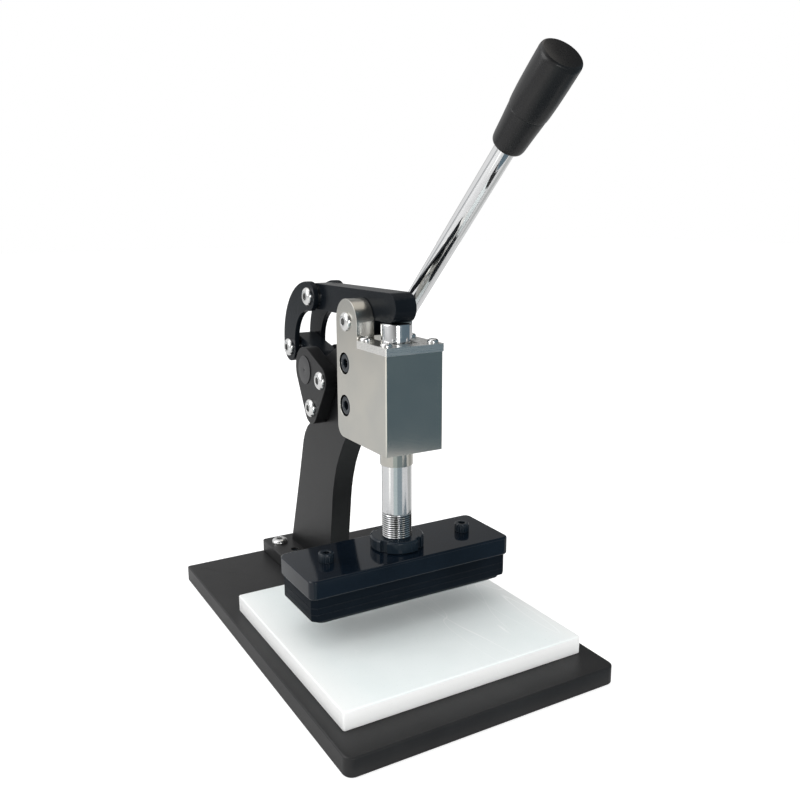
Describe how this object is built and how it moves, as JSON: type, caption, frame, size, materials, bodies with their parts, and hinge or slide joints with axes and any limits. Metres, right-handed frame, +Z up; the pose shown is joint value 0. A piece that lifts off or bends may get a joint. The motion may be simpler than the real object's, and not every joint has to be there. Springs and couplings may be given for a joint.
{
  "type": "manual die cutting machine",
  "caption": "Hand lever press with a crank, curved links and a rocking bar that drive a round ram and a cutting die down onto a board on a flat base.",
  "frame": {"origin": "middle of the base plate's underside", "axes": "+Z up, +X to the right seen from the front, +Y to the back where the column stands"},
  "size_m": [0.19, 0.29, 0.3818],
  "materials": {
    "black_metal": "satin black anodised",
    "black_gloss": "semi-gloss black anodised",
    "machined": "milled",
    "steel": "ground",
    "dark_steel": "blackened",
    "zinc": "bright zinc",
    "chrome": "polished",
    "bronze": "turned",
    "grip_plastic": "moulded",
    "die_plastic": "matt",
    "pad_rubber": "matt",
    "board_plastic": "milky"
  },
  "bodies": {
    "frame": {"base_plate": "black_metal", "column_foot": "black_metal", "foot_screws": "zinc", "foot_dowels": "dark_steel", "column": "black_metal", "column_bolts": "dark_steel", "guide_block": "machined", "block_screws": "dark_steel", "cap_plate": "machined", "cap_screws": "zinc", "lower_bush": "machined", "pivot_pin": "steel", "pivot_screws": "zinc", "left_bracket": "black_metal", "right_bracket": "black_metal", "bracket_screws": "zinc", "return_spring": "steel"},
    "handle": {"main_shaft": "dark_steel", "crank": "black_metal", "crank_key": "steel", "handle_hub": "black_metal", "hub_set_screw": "dark_steel", "handle_rod": "chrome", "grip": "grip_plastic"},
    "bar": {"lever_bar": "black_metal", "bar_bush": "bronze"},
    "links": {"left_link": "black_metal", "right_link": "black_metal", "upper_link_pin": "steel", "crank_pin": "steel", "link_screws": "zinc", "link_washers": "steel"},
    "head": {"ram": "steel", "spring_collar": "dark_steel", "lock_nut": "dark_steel", "press_plate": "black_gloss", "clamp_screws": "dark_steel", "die_board": "die_plastic", "ejector_pad": "pad_rubber", "cutting_rule": "steel"},
    "board": {"cutting_board": "board_plastic"}
  },
  "joints": [
    {"name": "handle_turn", "type": "hinge", "parent": "frame", "child": "handle", "pos_m": [0, 0.073, 0.1785], "axis": [1, 0, 0], "range_deg": [0, 50]},
    {"name": "bar_rock", "type": "hinge", "parent": "frame", "child": "bar", "pos_m": [0, -0.003, 0.223], "axis": [1, 0, 0], "range_deg": [0, 27.1]},
    {"name": "link_swing", "type": "hinge", "parent": "bar", "child": "links", "pos_m": [0, 0.075, 0.2325], "axis": [1, 0, 0], "range_deg": [-39.5, 0]},
    {"name": "ram_slide", "type": "slide", "parent": "frame", "child": "head", "axis": [0, 0, -1], "range_m": [0, 0.0161], "stiffness_N_per_m": 1500, "springref_m": -0.06, "deforming": ["return_spring"]},
    {"name": "board_slide", "type": "slide", "parent": "frame", "child": "board", "axis": [0, -1, 0], "range_m": [0, 0.09]}
  ],
  "couplings": [
    {"joint": "bar_rock", "follows": "handle_turn", "ratio": 0.5415},
    {"joint": "link_swing", "follows": "handle_turn", "ratio": -0.7881},
    {"joint": "ram_slide", "follows": "handle_turn", "m_per_rad": 0.018406}
  ]
}
